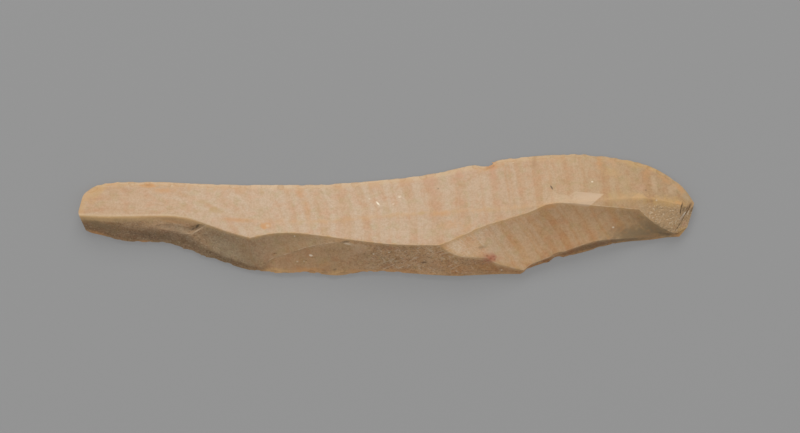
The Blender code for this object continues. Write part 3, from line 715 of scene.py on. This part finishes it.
stains_and_painted_shade = (
    # tone, at (along, across), (half length, half width) in mm, turn in degrees, softness, strength
    ("rust", (0.114, 0.742), (1.30, 0.32), 0, 0.6, 0.80),
    ("umber", (0.112, 0.744), (0.60, 0.15), 0, 0.8, 0.45),
    ("rust", (0.138, 0.702), (1.40, 0.36), 5, 0.8, 0.48),
    ("ochre", (0.030, 0.700), (2.20, 0.80), 50, 0.8, 0.40),
    ("rust", (0.055, 0.755), (1.00, 0.30), 5, 0.7, 0.35),
    ("olive", (0.219, 0.545), (0.85, 0.50), 0, 0.4, 0.55),
    ("rust", (0.262, 0.458), (2.60, 0.30), -3, 0.9, 0.48),
    ("rust", (0.303, 0.410), (0.75, 0.48), 0, 0.6, 0.76),
    ("pale", (0.307, 0.412), (0.30, 0.22), 0, 0.6, 0.60),
    ("rust", (0.359, 0.689), (0.80, 0.80), 0, 0.8, 0.30),
    ("rust", (0.372, 0.545), (0.40, 1.60), 8, 0.9, 0.25),
    ("rose", (0.571, 0.785), (1.10, 0.65), 10, 0.7, 0.40),
    ("rose", (0.576, 0.690), (0.55, 1.60), 8, 0.9, 0.28),
    ("rose", (0.618, 0.830), (0.70, 0.75), 10, 0.7, 0.50),
    ("char", (0.584, 0.717), (0.16, 0.14), 0, 0.5, 0.50),
    ("olive", (0.556, 0.516), (0.65, 0.25), 5, 0.6, 0.55),
    ("rust", (0.589, 0.508), (1.60, 0.35), 3, 0.9, 0.45),
    ("rust", (0.604, 0.418), (1.40, 0.65), 8, 0.9, 0.32),
    ("rust", (0.632, 0.400), (0.90, 0.50), 30, 0.9, 0.28),
    ("rust", (0.670, 0.908), (0.80, 0.40), 35, 0.7, 0.70),
    ("umber", (0.667, 0.912), (0.35, 0.22), 35, 0.7, 0.45),
    ("rust", (0.673, 0.893), (1.50, 0.38), 15, 0.8, 0.55),
    ("umber", (0.668, 0.889), (0.80, 0.20), 12, 0.8, 0.45),
    ("rose", (0.672, 0.860), (0.45, 1.10), 0, 0.9, 0.45),
    ("umber", (0.741, 0.925), (0.40, 0.95), 0, 0.9, 0.48),
    ("rust", (0.846, 0.925), (0.45, 0.85), 0, 0.9, 0.42),
    ("rust", (0.764, 0.572), (1.15, 0.42), 15, 0.6, 0.60),
    ("char", (0.768, 0.724), (0.40, 0.13), -60, 0.4, 0.90),
    ("char", (0.921, 0.703), (0.16, 0.16), 0, 0.5, 0.50),
    ("char", (0.931, 0.615), (0.18, 0.18), 0, 0.5, 0.55),
    ("chalk", (0.938, 0.620), (0.16, 0.14), 0, 0.5, 0.45),
    ("umber", (0.875, 0.985), (0.30, 0.22), 0, 0.6, 0.70),
    ("pale", (0.785, 0.630), (2.20, 0.80), 3, 0.8, 0.40),
    ("iron", (0.664, 0.158), (1.20, 0.75), 10, 0.9, 0.35),
    ("iron", (0.671, 0.146), (0.85, 0.62), 20, 0.6, 0.65),
    ("oxblood", (0.663, 0.166), (0.17, 0.14), 0, 0.8, 0.45),
    ("oxblood", (0.669, 0.143), (0.20, 0.15), 30, 0.8, 0.50),
    ("oxblood", (0.674, 0.159), (0.18, 0.13), 0, 0.8, 0.45),
    ("oxblood", (0.665, 0.126), (0.19, 0.13), -20, 0.8, 0.40),
    ("oxblood", (0.676, 0.138), (0.13, 0.17), 0, 0.8, 0.40),
    # A patch of painted shade beside the iron spot
    ("painted_shade", (0.656, 0.237), (0.75, 0.28), 10, 0.6, 0.45),
    ("pale", (0.672, 0.215), (1.30, 0.60), 0, 0.9, 0.45),
    ("ash", (0.160, 0.385), (2.50, 0.50), -10, 0.7, 0.25),
    ("rust", (0.153, 0.447), (1.60, 0.25), -6, 0.7, 0.35),
    ("char", (0.193, 0.407), (0.42, 0.19), 42, 0.6, 0.95),
    ("char", (0.186, 0.385), (0.30, 0.16), 30, 0.7, 0.70),
    ("pale", (0.172, 0.349), (1.25, 0.10), -4, 0.8, 0.55),
    ("pale", (0.194, 0.376), (1.35, 0.12), 32, 0.8, 0.85),
    # A streak of painted shade below the arris at the left end
    ("painted_shade", (0.034, 0.420), (2.40, 0.45), -18, 0.7, 0.55),
    ("ash", (0.245, 0.215), (3.40, 0.90), -28, 0.9, 0.20),
    ("rust", (0.029, 0.345), (1.60, 0.34), -17, 0.8, 0.60),
    ("rust", (0.104, 0.279), (1.20, 0.30), 0, 0.8, 0.60),
    ("umber", (0.146, 0.472), (3.20, 0.30), -4, 0.9, 0.55),
    ("umber", (0.279, 0.196), (2.10, 0.17), -82, 0.7, 0.45),
    ("umber", (0.267, 0.205), (1.70, 0.75), -65, 0.9, 0.35),
    ("umber", (0.290, 0.081), (1.30, 0.25), -50, 0.7, 0.50),
    ("umber", (0.317, 0.178), (0.36, 0.26), 20, 0.5, 0.75),
    ("honey", (0.322, 0.045), (1.50, 0.34), -4, 0.9, 0.60),
    ("honey", (0.421, 0.030), (1.10, 0.32), 8, 0.8, 0.45),
    ("umber", (0.405, 0.068), (1.20, 0.45), 10, 0.9, 0.40),
    ("char", (0.398, 0.048), (0.35, 0.16), -20, 0.8, 0.50),
    ("char", (0.416, 0.052), (0.30, 0.14), 15, 0.8, 0.50),
    ("rust", (0.372, 0.045), (2.40, 0.38), 0, 0.9, 0.60),
    ("rust", (0.450, 0.040), (1.60, 0.24), 0, 0.9, 0.45),
    ("rust", (0.515, 0.040), (4.00, 0.30), 0, 0.9, 0.45),
    ("char", (0.434, 0.280), (0.60, 0.20), 5, 0.7, 0.60),
    ("pale", (0.440, 0.262), (0.90, 0.22), -15, 0.8, 0.65),
    ("pale", (0.452, 0.215), (1.30, 0.75), 25, 0.9, 0.40),
    ("char", (0.561, 0.112), (0.55, 0.14), 5, 0.7, 0.75),
    ("rust", (0.398, 0.090), (1.00, 0.50), 15, 0.9, 0.30),
    ("umber", (0.335, 0.110), (0.80, 0.50), -20, 0.9, 0.28),
    ("umber", (0.575, 0.090), (2.60, 0.70), -25, 0.9, 0.35),
    ("rust", (0.652, 0.070), (3.60, 0.55), 0, 0.9, 0.35),
    # Painted shade: the hollow at the right end of the bevel, darkened in colour
    ("painted_shade", (0.900, 0.340), (3.80, 1.10), 5, 0.8, 0.82),
    ("painted_shade", (0.936, 0.393), (2.90, 0.75), -28, 0.8, 0.65),
    ("char", (0.953, 0.345), (1.20, 0.22), -10, 0.8, 0.60),
    ("umber", (0.868, 0.375), (1.00, 0.80), 0, 0.9, 0.35),
    ("umber", (0.925, 0.325), (2.20, 0.22), 3, 0.8, 0.55),
    ("rust", (0.977, 0.345), (1.00, 0.38), 10, 0.8, 0.60),
    ("ochre", (0.957, 0.606), (3.10, 0.70), -4, 0.9, 0.62),
    ("rust", (0.974, 0.598), (0.80, 0.30), -10, 0.8, 0.45),
    ("ochre", (0.934, 0.882), (1.60, 0.45), -32, 0.8, 0.50),
    ("ochre", (0.902, 0.915), (2.00, 0.40), -14, 0.8, 0.45),
    ("ochre", (0.866, 0.850), (1.20, 0.70), -20, 0.9, 0.35),
    ("olive", (0.890, 0.760), (0.60, 0.90), 10, 0.9, 0.25),
    ("honey", (0.910, 0.648), (1.00, 0.50), 0, 0.9, 0.30),
    ("umber", (0.929, 0.612), (0.34, 0.26), 0, 0.7, 0.60),
    ("pale", (0.962, 0.712), (0.80, 0.60), 0, 0.9, 0.30),
    ("ash", (0.984, 0.655), (1.10, 0.40), -42, 0.8, 0.35),
    ("pale", (0.934, 0.750), (0.45, 1.10), 5, 0.9, 0.30),
    ("rust", (0.952, 0.790), (1.10, 0.45), -35, 0.8, 0.35),
    ("rust", (0.978, 0.712), (0.35, 0.90), 25, 0.8, 0.40),
    ("rust", (0.922, 0.840), (0.50, 0.90), -10, 0.9, 0.30),
    ("rose", (0.913, 0.720), (0.80, 0.50), 0, 0.8, 0.35),
    ("ochre", (0.890, 0.640), (3.20, 0.80), -5, 0.9, 0.30),
    ("olive", (0.868, 0.640), (1.20, 1.20), 0, 0.7, 0.30),
    ("char", (0.993, 0.575), (0.55, 0.18), 62, 0.7, 0.80),
    ("char", (0.996, 0.545), (0.60, 0.14), 65, 0.7, 0.75),
    ("umber", (0.987, 0.530), (0.90, 0.30), 68, 0.8, 0.50),
    ("umber", (0.9935, 0.574), (0.80, 0.25), 60, 0.8, 0.55),
    ("frost", (0.981, 0.490), (0.85, 0.16), 58, 0.8, 0.65),
    ("chalk", (0.984, 0.510), (0.40, 0.09), 60, 0.7, 0.55),
    ("ochre", (0.982, 0.372), (0.90, 0.60), 35, 0.7, 0.70),
    ("rose", (0.984, 0.425), (0.55, 0.35), 50, 0.8, 0.45),
    ("char", (0.9880, 0.552), (0.50, 0.10), 65, 0.8, 0.60),
    ("char", (0.9825, 0.548), (0.36, 0.12), 60, 0.8, 0.50),
    ("chalk", (0.9900, 0.520), (0.42, 0.07), 62, 0.8, 0.50),
    ("umber", (0.9800, 0.475), (0.70, 0.14), 55, 0.8, 0.50),
    ("umber", (0.9680, 0.404), (0.36, 0.18), -40, 0.8, 0.60),
    ("char", (0.9690, 0.350), (0.50, 0.12), -10, 0.8, 0.60),
    ("chalk", (0.486, 0.595), (0.36, 0.13), -45, 0.7, 0.85),
    ("chalk", (0.521, 0.648), (0.26, 0.18), 20, 0.9, 0.40),
    ("chalk", (0.511, 0.590), (0.20, 0.14), 30, 0.9, 0.30),
    ("chalk", (0.472, 0.632), (0.14, 0.12), 0, 0.9, 0.35),
    ("chalk", (0.834, 0.773), (0.16, 0.12), 15, 0.8, 0.55),
    ("chalk", (0.351, 0.327), (0.12, 0.10), 0, 0.8, 0.50),
    ("chalk", (0.377, 0.169), (0.28, 0.15), -15, 0.6, 0.75),
    ("chalk", (0.355, 0.118), (0.14, 0.09), 0, 0.8, 0.45),
    ("chalk", (0.366, 0.121), (0.13, 0.08), 20, 0.8, 0.40),
    ("chalk", (0.437, 0.263), (0.45, 0.08), -8, 0.8, 0.45),
    ("chalk", (0.479, 0.181), (0.16, 0.12), 0, 0.8, 0.50),
    ("chalk", (0.504, 0.192), (0.13, 0.10), 0, 0.8, 0.45),
    ("chalk", (0.687, 0.049), (0.14, 0.11), 0, 0.8, 0.50),
    ("chalk", (0.868, 0.399), (0.16, 0.13), 0, 0.8, 0.55),
)

flint.use_nodes = True
net = flint.node_tree
coordinate = add("ShaderNodeTexCoord").outputs["Object"]
point = reckon_vector("MULTIPLY", coordinate, (1000, 1000, 1000))[0]
parts = add("ShaderNodeSeparateXYZ", {0: point}).outputs
measured = {name: add("ShaderNodeAttribute", attribute_name=name).outputs["Fac"]
            for name in skin_measures}
cloud = noise(point, 0.9, 3)
ragged = scaled(cloud, 1.3, -0.65)
along = scaled(parts["X"], 0.001 / blade_length, 0.5)
along = scaled(ragged, 0.012, along)

# The faces: the broad dorsal face, the bevel below the main arris, and its foot, whose colours hold
# painted shade besides their own browner tone
left_end = fade(along, 0.26, 0.14)
on_bevel = times(ragged_fade(measured["below_main"], 0.12, -0.05, 0.22), measured["dorsal"])
on_foot = ragged_fade(measured["below_lower"], 0.5, scaled(left_end, -0.55, -0.10),
                      scaled(left_end, 0.55, 0.45))
colour = blend(on_foot, along_ramp(bevel_colours_with_shade), along_ramp(low_bevel_colours_with_shade))
colour = blend(on_bevel, along_ramp(face_colours), colour)

# The bands are shells in the stone round a point below its left half, drawn out along the blade
# there. Each dark one is given by its distance from that point in mm, and how dark it is.
dark_bands = (
    (6.0, 0.30), (7.5, 0.50), (9.1, 0.55), (11.0, 0.55), (12.5, 0.65), (14.0, 0.40), (16.1, 0.75),
    (18.4, 0.80), (20.6, 0.90), (24.5, 1.00), (27.9, 0.90), (29.8, 0.60), (31.8, 0.50), (33.5, 0.45),
    (35.5, 1.00), (40.0, 1.00), (44.8, 0.85), (47.8, 0.35), (50.4, 0.90), (53.1, 0.50), (54.8, 0.70),
    (57.8, 1.00), (60.0, 0.35), (62.8, 0.70), (65.8, 0.45), (69.3, 1.00), (71.4, 0.50), (73.4, 0.45),
    (76.4, 0.90), (79.0, 0.55), (81.6, 0.55), (83.7, 0.40),
)
least_shell, most_shell = 4.0, 86.0
dark_between_bands = 0.05
shell_x, shell_y, shell_reach = -18.2, -4.3, 13.0
dx = reckon("SUBTRACT", parts["X"], shell_x)
dy = reckon("SUBTRACT", parts["Y"], shell_y)
stretched = reckon("ADD", reckon("MAXIMUM", dx, 0),
                   scaled(reckon("MINIMUM", dx, 0), 0.5, shell_reach))
radius = reckon("SQRT", reckon("ADD", times(stretched, stretched), times(dy, dy)))
shell = reckon("ADD", radius, scaled(noise(point, 0.16, 2), 1.4, -0.7))
shell = scaled(ragged, 0.35, shell)
down_bevel = times(reckon("MAXIMUM", measured["below_main"], 0), measured["dorsal"])
shell = scaled(down_bevel, -0.62, shell)
depth_share = reckon("DIVIDE", reckon("SUBTRACT", shell, least_shell), most_shell - least_shell)
darkness = add("ShaderNodeFloatCurve", {"Value": depth_share})
curve = darkness.mapping.curves[0]
next_places = [place for place, _ in dark_bands[1:]] + [most_shell]
for (place, depth), following in zip(dark_bands, next_places):
    for spot, dark in ((place, depth), ((place + following) / 2, dark_between_bands)):
        curve.points.new((spot - least_shell) / (most_shell - least_shell), dark)
curve.points[0].location = (0.0, 0.0)
curve.points[len(curve.points) - 1].location = (1.0, 0.0)
darkness.mapping.update()
band = fade(reckon("ADD", darkness.outputs[0], scaled(layers(shell, 1.5, 3), 1.1, -0.55)), -0.15, 1.05)
quiet_below = times(on_bevel, fade(along, 0.62, 0.57))
band_strength = times(
    scaled(clouds(point, 0.30, 2, 0.3, 0.7), 0.6, 0.6),
    along_share(((0.0, 0.8), (0.25, 0.85), (0.50, 1.0), (0.85, 1.0), (0.95, 0.7))),
    scaled(quiet_below, -0.6, 1))
band_tint = blend(on_bevel, (0.955, 0.850, 0.745, 1), (0.965, 0.850, 0.710, 1))
colour = dyed(colour, band_tint, times(band_strength, band))

# Fine threads follow the bands on the hollow right half of the bevel. At the left end the strands
# are cut lengthwise, so they show as long streaks.
threads = times(fade(layers(shell, 3.2, 1), 0.46, 0.62), on_bevel, fade(along, 0.57, 0.60),
                fade(cloud, 0.42, 0.62))
colour = dyed(colour, (0.91, 0.87, 0.82), threads, 0.6)
streaks = times(clouds(drawn_out(7.0, 0.95, -2), 1, 4, 0.42, 0.70), fade(along, 0.28, 0.10))
colour = dyed(colour, (0.95, 0.89, 0.83), streaks)

# Mottling: rosy and greenish clouds, flecks, and a fine grain like that of unglazed porcelain
elsewhere = reckon_vector("ADD", point, (31, 7, 3))[0]
fine = noise(point, 3.4, 3)
colour = dyed(colour, (1.0, 0.93, 0.90), clouds(point, 0.55, 3, 0.46, 0.66))
colour = dyed(colour, (0.935, 0.965, 0.90), clouds(elsewhere, 0.7, 3, 0.50, 0.68))
colour = dyed(colour, (0.955, 0.925, 0.885), clouds(point, 1.5, 4, 0.42, 0.64))
colour = dyed(colour, (0.895, 0.875, 0.85), fade(fine, 0.35, 0.68))

# The steep back was left rough: dark specks, pale specks and blotches, and short pale hairs in
# two directions. The hollow right half of the bevel is spared, all but its foot.
spared = times(fade(along, 0.57, 0.60), reckon("SUBTRACT", 1, on_foot))
rough_back = times(on_bevel, along_share((
    (0.0, 0.80), (0.17, 0.80), (0.26, 0.70), (0.32, 0.25), (0.44, 0.45), (0.50, 1.00),
    (0.66, 1.00), (0.72, 0.30), (0.86, 0.35), (0.93, 0.90))), scaled(spared, -0.75, 1))
dark_specks = times(clouds(point, 3.1, 4, 0.50, 0.36), rough_back)
pale_specks = times(clouds(point, 3.7, 4, 0.54, 0.70), rough_back)
blotches = times(clouds(point, 0.75, 3, 0.46, 0.64), rough_back)
colour = dyed(colour, (0.69, 0.68, 0.67), dark_specks)
colour = laid(colour, (0.66, 0.53, 0.38), pale_specks, 0.36)
colour = dyed(colour, (0.86, 0.83, 0.80), blotches)
hairs = 0
for turn in (-38, 27):
    hairs = reckon("MAXIMUM", clouds(drawn_out(1.8, 0.32, turn), 1, 2, 0.58, 0.70), hairs)
hairs = times(hairs, on_bevel, fade(along, 0.44, 0.52), fade(along, 0.70, 0.62))
colour = laid(colour, (0.70, 0.57, 0.42), hairs, 0.36)

# The cutting edge is painted paler and orange along its rim: painted highlights on its small scars and
# painted light shining through where it is thin. Orange blushes lie behind it in places. The back edge
# is painted orange as light shining through it, and an ochre line follows the dorsal ridge.
edge_light_colours = (
    (0.0, (0.50, 0.31, 0.145)), (0.05, (0.58, 0.40, 0.225)), (0.30, (0.60, 0.43, 0.265)),
    (0.72, (0.56, 0.39, 0.22)), (0.86, (0.45, 0.305, 0.162)), (1.0, (0.42, 0.28, 0.145)),
)
painted_edge_light = ragged_fade(measured["from_edge"], 0.9, 1.25, 0.25)
colour = laid(colour, along_ramp(edge_light_colours), painted_edge_light, 0.6)
blushes = times(clouds(point, 0.5, 3, 0.50, 0.62),
                ragged_fade(measured["from_edge"], 1.2, 2.2, 0.9),
                fade(measured["from_edge"], 0.10, 0.45))
colour = laid(colour, (0.50, 0.295, 0.150), blushes, 0.45)
painted_back_glow = times(ragged_fade(measured["from_back"], 0.6, 0.75, 0.15),
                  scaled(fade(along, 0.26, 0.32), 0.40, 0.15))
colour = laid(colour, (0.52, 0.30, 0.135), painted_back_glow)
patchy = scaled(clouds(point, 0.8, 3, 0.38, 0.62), 0.6, 0.4)
near_ridge = times(ragged_fade(measured["from_ridge"], 1.4, 0.75, -0.1),
                   fade(along, 0.20, 0.42), patchy)
colour = laid(colour, (0.52, 0.315, 0.155), near_ridge, 0.60)

# Gold follows the brinks of the bevel. Left of the spur, where the bevel's two hollows meet, the lower
# arris has none. The worn left end has a paler brown fringe below its arris, partly painted light
# where that less steep strip catches the light, and a pale line on it.
left_of_spur = fade(along, 0.585, 0.56)
near_arris = scaled(left_of_spur, 3, measured["from_lower"])
near_arris = scaled(fade(along, 0.71, 0.735), 0.55, near_arris)
near_arris = reckon("MINIMUM", measured["from_arris"], near_arris)
gilt = times(ragged_fade(near_arris, 0.45, scaled(on_bevel, 0.60, 0.30), 0.0),
             reckon("MAXIMUM", patchy, left_end))
colour = laid(colour, (0.50, 0.30, 0.128), gilt, 0.72)
brown_fringe_and_light = times(left_end, fade(on_bevel, 0.3, 0.9),
                     ragged_fade(measured["below_main"], 0.4, 1.25, 0.45))
colour = laid(colour, (0.56, 0.365, 0.175), brown_fringe_and_light, 0.60)
rim_light = times(fade(measured["from_arris"], 0.55, 0.15), left_end, fade(on_bevel, 0.6, 0.0))
colour = laid(colour, (0.62, 0.46, 0.28), rim_light, 0.5)
off_line = scaled(fade(along, 0.42, 0.44), left_of_spur, fade(along, 0.31, 0.29))
near_line = reckon("MINIMUM", measured["from_arris"], scaled(off_line, 3, measured["from_lower"]))
worn = times(fade(near_line, 0.16, 0.03), fade(cloud, 0.40, 0.60))
colour = laid(colour, (0.66, 0.50, 0.34), worn, 0.45)

# Single grains of chalk and of dark mineral: tone, cells to the mm, and radius as a share of a cell
least_lot = 0.62
for tone, cell, most in (("chalk", 0.50, 0.055), ("char", 0.42, 0.045)):
    speck = add("ShaderNodeTexVoronoi", {"Vector": point, "Scale": cell}).outputs
    lot = add("ShaderNodeSeparateColor", {0: speck["Color"]}).outputs[0]
    dot = times(fade(speck["Distance"], most, most / 3), reckon("GREATER_THAN", lot, least_lot))
    colour = laid(colour, tones[tone], dot, 0.3)

# The face beside the butt is rough too, with frosty grains and pits in a golden ground
rough_end = times(fade(along, 0.90, 0.935), fade(reckon("ADD", parts["Y"], ragged), 2.4, 1.2),
                  fade(on_bevel, 0.7, 0.1), measured["dorsal"])
frosty = times(clouds(point, 3.3, 4, 0.52, 0.68), rough_end)
pitted = times(clouds(point, 2.9, 4, 0.46, 0.32), rough_end)
colour = laid(colour, (0.46, 0.300, 0.158), rough_end, 0.55)
colour = laid(colour, (0.70, 0.58, 0.42), frosty, 0.42)
colour = laid(colour, (0.24, 0.155, 0.080), pitted, 0.6)

# The lozenge is a fresher scar: a slanted, four-sided face whose paler flint shows its own edges
before_stains = colour
lozenge_x, lozenge_y = 33.57, 2.99
lozenge_slant, lozenge_tilt = -1.2, 0.09
beside = reckon("SUBTRACT", parts["X"], lozenge_x)
above = reckon("SUBTRACT", parts["Y"], lozenge_y)
slanted = reckon("ABSOLUTE", scaled(above, lozenge_slant, beside))
level = scaled(beside, lozenge_tilt, above)
lozenge = times(fade(slanted, 2.90, 2.65), fade(level, 1.00, 0.78), fade(level, -1.7, -1.2),
                fade(beside, -3.9, 0.4))
colour = laid(colour, (0.555, 0.395, 0.258), lozenge, 0.80)

# The stains, the patches of painted shade, and the dark bottoms of the two cracks, which lie on the
# dorsal side alone
mottle = scaled(noise(point, 1.7, 4), 2.6, -1.3)
for middle, heading, length, width in crack_lengths:
    stains_and_painted_shade += (("char", middle, (0.55 * length, 0.5 * width), heading, 0.6, 0.85),)
for tone, at, half, turn, softness, strength in stains_and_painted_shade:
    x, y = in_plan(at)
    spot = add("ShaderNodeGroup", {
        "Point": point, "Centre": (1000 * x, 1000 * y, 0), "Half Size": (*half, 1),
        "Turn": math.radians(turn), "Softness": softness,
        "Ragged": times(mottle, min(1, 2 * half[1]))}, node_tree=patch)
    colour = laid(colour, tones[tone], spot.outputs["Mask"], strength)
colour = blend(measured["dorsal"], before_stains, colour)

# The surface: fine grain, pebbling, shallow ripples that spread from the butt, the rough face
# beside it, the rough back and its hairs. Each is a layer with its height in mm.
pebbled = noise(point, 1.3, 3)
ripple_centre = (54, 1, 2)
from_butt = reckon_vector("DISTANCE", point, ripple_centre)[1]
ripple = layers(scaled(cloud, 1.5, from_butt), 0.45, 2)
relief = times(fine, 0.016)
for layer, height in ((pebbled, 0.035), (ripple, 0.05),
                      (times(noise(point, 2.6, 4), rough_end), 0.15),
                      (times(noise(point, 3, 3), rough_back), 0.045), (hairs, 0.010)):
    relief = scaled(layer, height, relief)
bump = add("ShaderNodeBump", {"Height": relief, "Distance": 0.001, "Strength": 1.0})
dullness = scaled(rough_end, 0.1, scaled(pebbled, 0.16, 0.47))
shader = net.nodes["Principled BSDF"].inputs
net.links.new(colour, shader["Base Color"])
net.links.new(dullness, shader["Roughness"])
net.links.new(bump.outputs["Normal"], shader["Normal"])
shader["Specular IOR Level"].default_value = 0.3

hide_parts("blade")
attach(blade, "root")

# The table is a plain grey sheet that glows a little, as a light table does, so that the blade's
# shadow stays faint. One wide soft light stands beyond the cutting edge.
bpy.ops.mesh.primitive_plane_add(size=4, location=(0, 0, blade_low[2]))
table = bpy.context.object
table.name = "grey_sheet"
sheet = bpy.data.materials.new("grey_sheet")
sheet.use_nodes = True
paper = sheet.node_tree.nodes["Principled BSDF"].inputs
paper["Base Color"].default_value = (0.12, 0.12, 0.12, 1)
paper["Roughness"].default_value = 0.9
paper["Emission Color"].default_value = (1, 1, 1, 1)
paper["Emission Strength"].default_value = 0.168
table.data.materials.append(sheet)

softbox = bpy.data.lights.new("softbox", "AREA")
softbox.shape = "RECTANGLE"
softbox.size = 0.7
softbox.size_y = 0.4
softbox.energy = 4.2
lamp = bpy.data.objects.new("softbox", softbox)
lamp.location = (-0.05, 0.62, 0.52)
lamp.rotation_euler = (Vector((0, 0, 0)) - lamp.location).to_track_quat("-Z", "Y").to_euler()
bpy.context.scene.collection.objects.link(lamp)
studio = bpy.data.worlds.new("studio")
bpy.context.scene.world = studio
studio.use_nodes = True
studio.node_tree.nodes["Background"].inputs["Color"].default_value = (0.5, 0.5, 0.5, 1)
studio.node_tree.nodes["Background"].inputs["Strength"].default_value = 1.2
bpy.context.scene.view_settings.view_transform = "Standard"

# The camera looks straight down on the dorsal face from far off, as the photograph does. Its
# view is this wide at the table, and the blade sits a little left of the middle.
camera_height = 1.2
view_width = 0.1367
lens = bpy.data.cameras.new("camera")
lens.sensor_width = 36
lens.lens = lens.sensor_width * camera_height / view_width
lens.clip_end = 10
camera = bpy.data.objects.new("camera", lens)
camera.location = (0.0023, -0.00026, camera_height)
bpy.context.scene.collection.objects.link(camera)
bpy.context.scene.camera = camera
